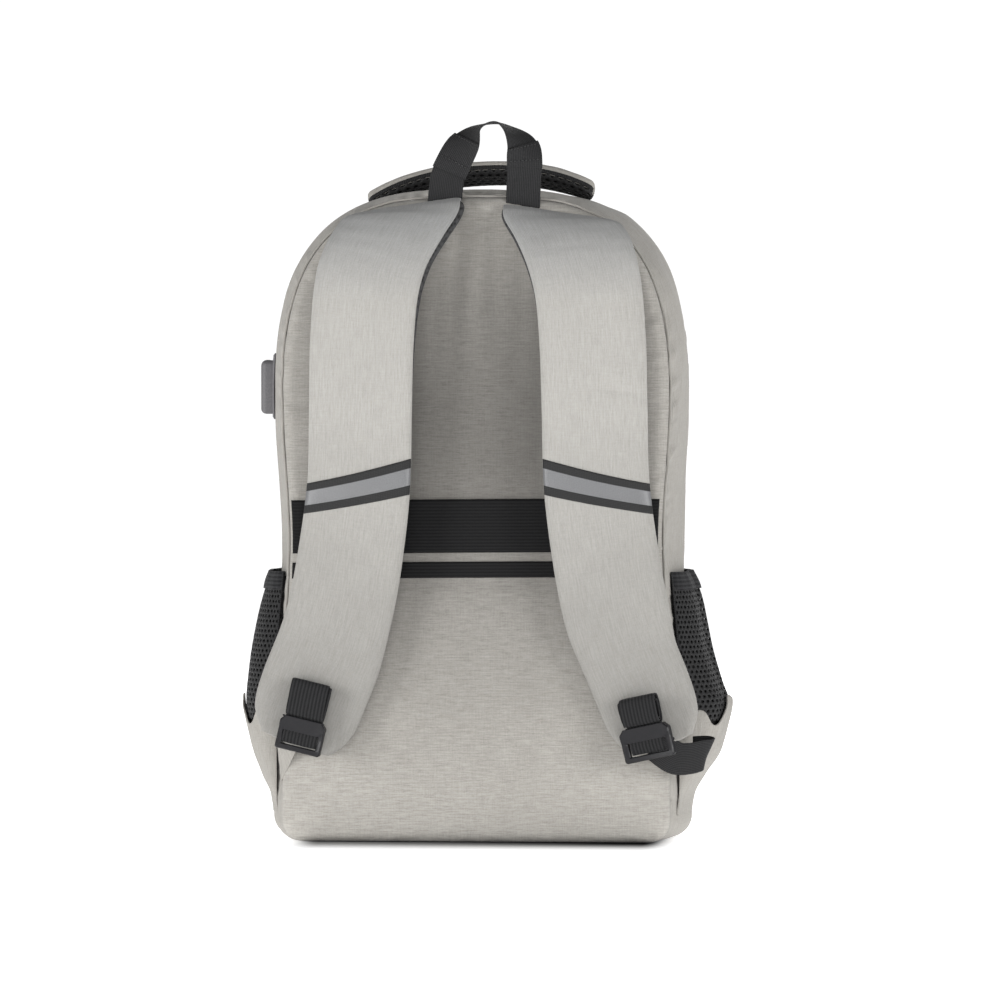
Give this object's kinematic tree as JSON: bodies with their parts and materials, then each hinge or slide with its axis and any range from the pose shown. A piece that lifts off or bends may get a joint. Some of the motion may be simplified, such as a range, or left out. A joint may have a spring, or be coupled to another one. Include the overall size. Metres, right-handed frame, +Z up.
{
  "type": "solar backpack",
  "caption": "Grey daypack with padded shoulder straps, mesh side pockets, folding carry handle, webbing grab loop, side USB port and a solar panel on its front.",
  "frame": {"origin": "on the floor under the middle of the bag, in the plane of its base", "axes": "+Z up, -Y towards the wearer's back and the shoulder straps, +Y towards the solar panel, +X to the right seen from the back"},
  "size_m": [0.3686, 0.2298, 0.5345],
  "materials": {
    "grey_fabric": "melange woven polyester, matte",
    "black_webbing": "ribbed black webbing, matte",
    "black_mesh": "black hexagonal air mesh, matte",
    "black_plastic": "moulded acetal, satin",
    "reflective_tape": "charcoal tape with a silver-grey reflective stripe",
    "foam": "closed-cell foam, matte",
    "lining": "thin black lining cloth",
    "solar_cell": "dark blue monocrystalline cells",
    "clear_laminate": "clear laminate over the cells",
    "steel": "stamped socket shell"
  },
  "bodies": {
    "bag": {"back_panel": "grey_fabric", "rear_gusset": "grey_fabric", "base_panel": "grey_fabric", "front_panel_lower": "grey_fabric", "lower_gusset_left": "grey_fabric", "lower_gusset_right": "grey_fabric", "seam_piping": "grey_fabric", "front_pocket": "grey_fabric", "pocket_base_left": "grey_fabric", "pocket_base_right": "grey_fabric", "zip_tape_rear": "black_webbing", "luggage_band": "black_webbing", "lower_band": "black_webbing", "pocket_binding_left": "black_webbing", "pocket_binding_right": "black_webbing", "lower_webbing_left": "black_webbing", "lower_webbing_right": "black_webbing", "sleeve_strap": "black_webbing", "pocket_zip": "black_webbing", "pocket_mesh_left": "black_mesh", "pocket_mesh_right": "black_mesh", "zip_coil": "black_plastic", "usb_housing": "black_plastic", "back_foam": "foam", "laptop_sleeve": "lining", "usb_socket": "steel"},
    "front": {"front_panel": "grey_fabric", "front_gusset": "grey_fabric", "zip_tape_front": "black_webbing", "solar_backing": "lining", "solar_border": "black_webbing", "solar_film": "clear_laminate", "charge_controller": "black_plastic", "solar_cell_1": "solar_cell", "solar_cell_2": "solar_cell", "solar_cell_3": "solar_cell", "solar_cell_4": "solar_cell", "solar_cell_5": "solar_cell", "solar_cell_6": "solar_cell"},
    "strap_left": {"strap_pad_left": "grey_fabric", "strap_lining_left": "black_mesh", "reflective_band_left": "reflective_tape", "webbing_roll_left": "black_webbing"},
    "buckle_left": {"buckle_left": "black_plastic", "webbing_turn_left": "black_webbing"},
    "strap_right": {"strap_pad_right": "grey_fabric", "strap_lining_right": "black_mesh", "reflective_band_right": "reflective_tape", "webbing_roll_right": "black_webbing"},
    "buckle_right": {"buckle_right": "black_plastic", "webbing_turn_right": "black_webbing"},
    "carry_handle": {"handle_cover": "grey_fabric", "handle_mesh_underside": "black_mesh"},
    "grab_loop": {"grab_loop": "black_webbing"},
    "main_slider_upper": {"main_upper_slider": "black_plastic"},
    "main_pull_upper": {"main_upper_pull": "black_webbing"},
    "main_slider_lower": {"main_lower_slider": "black_plastic"},
    "main_pull_lower": {"main_lower_pull": "black_webbing"},
    "pocket_slider": {"pocket_slider": "black_plastic"},
    "pocket_pull": {"pocket_pull": "black_webbing"}
  },
  "joints": [
    {"name": "front_fold", "type": "hinge", "parent": "bag", "child": "front", "pos_m": [0, 0.076, 0.2125], "axis": [-1, 0, 0], "range_deg": [0, 75]},
    {"name": "carry_handle_swing", "type": "hinge", "parent": "bag", "child": "carry_handle", "pos_m": [0, 0, 0.479], "axis": [1, 0, 0], "range_deg": [-15, 15]},
    {"name": "grab_loop_fold", "type": "hinge", "parent": "bag", "child": "grab_loop", "pos_m": [0, -0.08, 0.4745], "axis": [-1, 0, 0], "range_deg": [-50, 35]},
    {"name": "strap_left_swing", "type": "hinge", "parent": "bag", "child": "strap_left", "pos_m": [-0.053, -0.0895, 0.468], "axis": [-1, 0, 0], "range_deg": [0, 8]},
    {"name": "buckle_left_tilt", "type": "hinge", "parent": "strap_left", "child": "buckle_left", "pos_m": [-0.1217, -0.1115, 0.08972], "axis": [-0.9703, 0, 0.2419], "range_deg": [0, 35]},
    {"name": "strap_right_swing", "type": "hinge", "parent": "bag", "child": "strap_right", "pos_m": [0.053, -0.0895, 0.468], "axis": [-1, 0, 0], "range_deg": [0, 8]},
    {"name": "buckle_right_tilt", "type": "hinge", "parent": "strap_right", "child": "buckle_right", "pos_m": [0.1217, -0.1115, 0.08972], "axis": [-0.9703, 0, -0.2419], "range_deg": [0, 35]},
    {"name": "main_upper_slide", "type": "slide", "parent": "bag", "child": "main_slider_upper", "axis": [0.1958, 0, 0.9806], "range_m": [0, 0.024]},
    {"name": "main_upper_pull_tilt", "type": "hinge", "parent": "main_slider_upper", "child": "main_pull_upper", "pos_m": [-0.15228, 0.0244, 0.38946], "axis": [0, 1, 0], "range_deg": [0, 110]},
    {"name": "main_lower_slide", "type": "slide", "parent": "bag", "child": "main_slider_lower", "axis": [-0.1483, 0, -0.9889], "range_m": [0, 0.06]},
    {"name": "main_lower_pull_tilt", "type": "hinge", "parent": "main_slider_lower", "child": "main_pull_lower", "pos_m": [-0.15412, 0.03, 0.37946], "axis": [0, 1, 0], "range_deg": [0, 110]},
    {"name": "pocket_slide", "type": "slide", "parent": "bag", "child": "pocket_slider", "axis": [1, 0, 0], "range_m": [0, 0.186]},
    {"name": "pocket_pull_tilt", "type": "hinge", "parent": "pocket_slider", "child": "pocket_pull", "pos_m": [-0.093, 0.0858, 0.1745], "axis": [1, 0, 0], "range_deg": [0, 95]}
  ]
}
